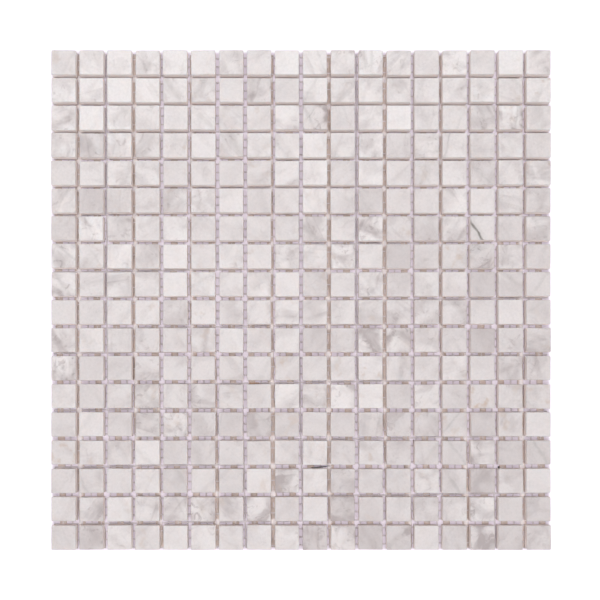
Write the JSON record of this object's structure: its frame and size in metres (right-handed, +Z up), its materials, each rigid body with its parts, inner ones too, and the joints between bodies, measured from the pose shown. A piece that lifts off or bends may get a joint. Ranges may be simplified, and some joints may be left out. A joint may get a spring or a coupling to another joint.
{
  "type": "mosaic tile sheet",
  "caption": "Square sheet of small white marble tiles with faint grey veins, set in a straight grid with open joints on a fibreglass backing net.",
  "frame": {"origin": "centre of the underside of the backing net", "axes": "+Z up out of the tile faces, +X along the tile rows, +Y from the first row to the last, which is the top row of the picture"},
  "size_m": [0.304, 0.304, 0.01],
  "materials": {
    "marble": "honed, sawn sides",
    "backing_net": "coated fibreglass yarn"
  },
  "bodies": {
    "root": {"tile_row_01": "marble", "tile_row_02": "marble", "tile_row_03": "marble", "tile_row_04": "marble", "tile_row_05": "marble", "tile_row_06": "marble", "tile_row_07": "marble", "tile_row_08": "marble", "tile_row_09": "marble", "tile_row_10": "marble", "tile_row_11": "marble", "tile_row_12": "marble", "tile_row_13": "marble", "tile_row_14": "marble", "tile_row_15": "marble", "tile_row_16": "marble", "tile_row_17": "marble", "tile_row_18": "marble", "net_warp_yarns": "backing_net", "net_weft_yarns": "backing_net"}
  },
  "joints": []
}
